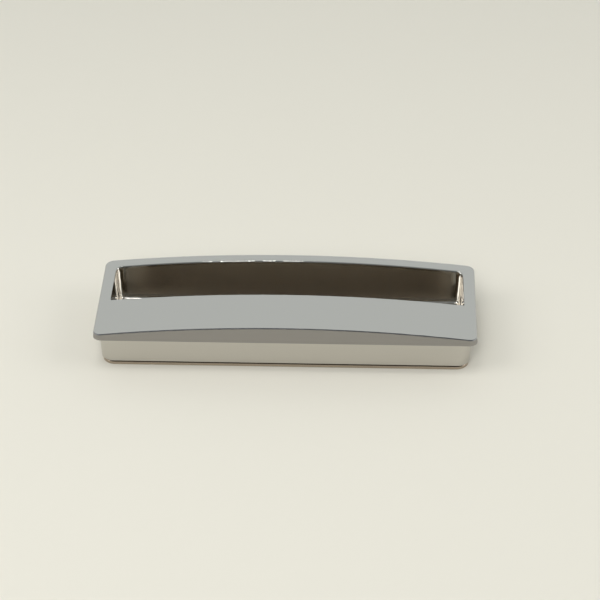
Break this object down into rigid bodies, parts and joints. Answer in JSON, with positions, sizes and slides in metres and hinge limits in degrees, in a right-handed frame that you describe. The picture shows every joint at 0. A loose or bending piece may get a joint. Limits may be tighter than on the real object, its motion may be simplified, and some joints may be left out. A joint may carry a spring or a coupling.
{
  "type": "recessed pull handle",
  "caption": "Flush finger pull: arched rectangular chrome face plate, canopy lip over a deep finger pocket, and a closing back plate.",
  "frame": {"origin": "centre of the back plate's outer face, the lowest face of the part", "axes": "+X along the handle, -Y towards the side of the canopy that the fingers hook under, +Z out of the furniture panel"},
  "size_m": [0.11, 0.04, 0.0146],
  "materials": {
    "body_chrome": "bright chrome plate on die-cast zinc, mirror polished",
    "plate_chrome": "bright chrome plate, as the body"
  },
  "bodies": {
    "root": {"pull_body": "body_chrome", "back_plate": "plate_chrome"}
  },
  "joints": []
}
